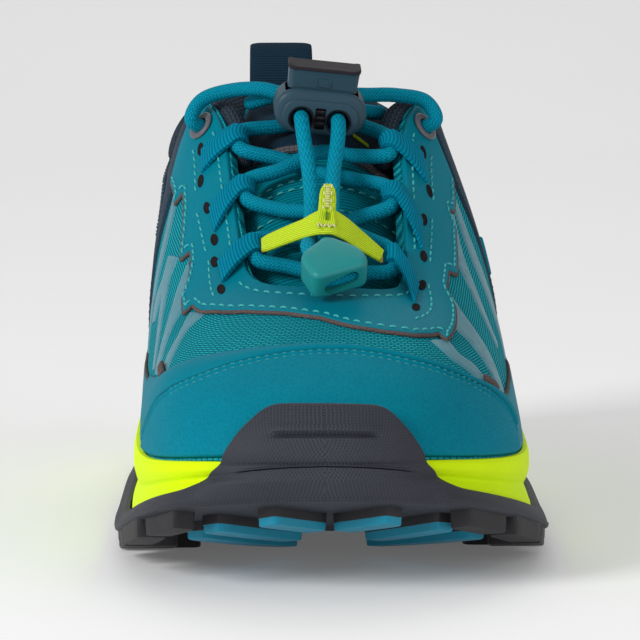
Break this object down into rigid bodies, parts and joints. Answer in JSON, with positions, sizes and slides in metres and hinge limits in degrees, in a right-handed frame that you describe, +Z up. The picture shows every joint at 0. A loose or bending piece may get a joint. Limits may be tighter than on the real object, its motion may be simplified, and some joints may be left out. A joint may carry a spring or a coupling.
{
  "type": "hiking shoe",
  "caption": "Child's low hiking shoe: padded mesh upper with suede toe cap, elastic lacing held by a push-button cord lock, foam midsole and lugged rubber sole with a toe bumper.",
  "frame": {"origin": "on the floor under the middle of the sole", "axes": "+Z up, toe towards -Y, outer side of the foot towards +X"},
  "size_m": [0.0913, 0.228, 0.1019],
  "materials": {
    "lime_foam": "matt moulded foam",
    "lime_webbing": "woven webbing",
    "teal_mesh": "ribbed mesh",
    "teal_suede": "matt synthetic suede",
    "blue_cord": "braided elastic cord and webbing",
    "navy_panel": "coated cloth",
    "navy_knit": "soft knit",
    "dark_rubber": "matt rubber",
    "blue_rubber": "matt rubber",
    "slate_plastic": "fine matt",
    "green_rubber": "soft satin",
    "grey_ring": "satin"
  },
  "bodies": {
    "shoe": {"chevron_1_inner": "blue_rubber", "chevron_1_outer": "blue_rubber", "chevron_2_inner": "blue_rubber", "chevron_2_outer": "blue_rubber", "chevron_3_inner": "blue_rubber", "chevron_3_outer": "blue_rubber", "collar_pad": "navy_knit", "cord_end": "green_rubber", "cord_lock_body": "slate_plastic", "eyelet_inner": "grey_ring", "eyelet_outer": "grey_ring", "eyestay": "teal_suede", "heel_panel": "navy_panel", "insole": "navy_knit", "keeper": "lime_webbing", "lace": "blue_cord", "lace_loop_1_inner": "blue_cord", "lace_loop_1_outer": "blue_cord", "lace_loop_2_inner": "blue_cord", "lace_loop_2_outer": "blue_cord", "lace_loop_3_inner": "blue_cord", "lace_loop_3_outer": "blue_cord", "lace_tail_inner": "blue_cord", "lace_tail_outer": "blue_cord", "lace_top_inner": "blue_cord", "lace_top_outer": "blue_cord", "midsole": "lime_foam", "outsole": "dark_rubber", "pull_loop": "navy_panel", "side_tab": "teal_suede", "toe_cap": "teal_suede", "tongue": "teal_mesh", "upper": "teal_mesh"},
    "lock_button": {"cord_lock_button": "slate_plastic"}
  },
  "joints": [
    {"name": "lock_press", "type": "slide", "parent": "shoe", "child": "lock_button", "axis": [-0.1045, 0.2574, -0.9606], "range_m": [0, 0.003], "stiffness_N_per_m": 400}
  ]
}
